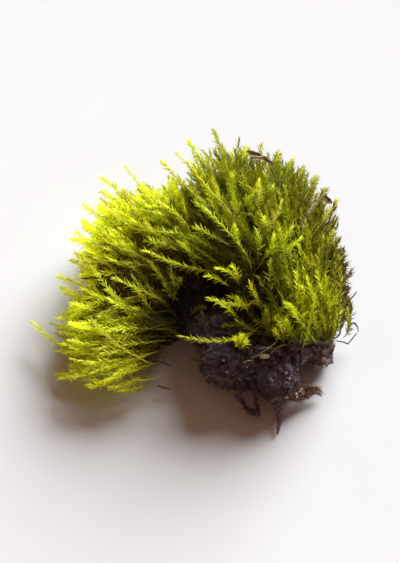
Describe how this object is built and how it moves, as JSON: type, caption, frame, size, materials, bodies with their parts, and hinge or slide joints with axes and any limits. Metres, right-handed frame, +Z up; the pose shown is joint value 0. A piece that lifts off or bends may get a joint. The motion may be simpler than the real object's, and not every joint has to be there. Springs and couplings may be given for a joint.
{
  "type": "moss clump",
  "caption": "Small clump of leafy moss picked with its dark soil, lying on its side, its shoots fanning in two lobes from the clod.",
  "frame": {"origin": "on the surface that the clump lies on, under the middle of its bounding box", "axes": "+X to the right as the soil faces the viewer, +Y away from the viewer, the way the shoots fan, +Z up"},
  "size_m": [0.0198, 0.0176, 0.0091],
  "materials": {
    "moss_deep": "fresh green moss leaves in the clump's own shade, slightly glossy",
    "moss_bright": "fresh yellow-green moss leaves, thin and lit through",
    "rhizoids": "dark brown felt of rhizoids and old stems",
    "soil": "dark damp crumbly soil bound by fine threads",
    "litter": "dry brown dead leaf",
    "dead_stem": "dry grey-brown stem",
    "husk": "pale dry husk"
  },
  "bodies": {
    "root": {"moss_lobe_right": "moss_deep", "moss_lobe_left": "moss_bright", "rhizoid_mat": "rhizoids", "soil_clod": "soil", "soil_crumb_right": "soil", "left_stray_shoot": "moss_bright", "low_left_shoot": "moss_bright", "top_shoot": "moss_bright", "back_thin_shoot": "moss_bright", "front_long_shoot": "moss_bright", "front_fan_shoot": "moss_bright", "left_front_shoot": "moss_bright", "middle_shoot": "moss_bright", "dead_leaf": "litter", "dead_stem": "dead_stem", "litter_sliver": "litter", "curled_dead_shoot": "litter", "right_rootlet": "rhizoids", "seed_husk": "husk"}
  },
  "joints": []
}
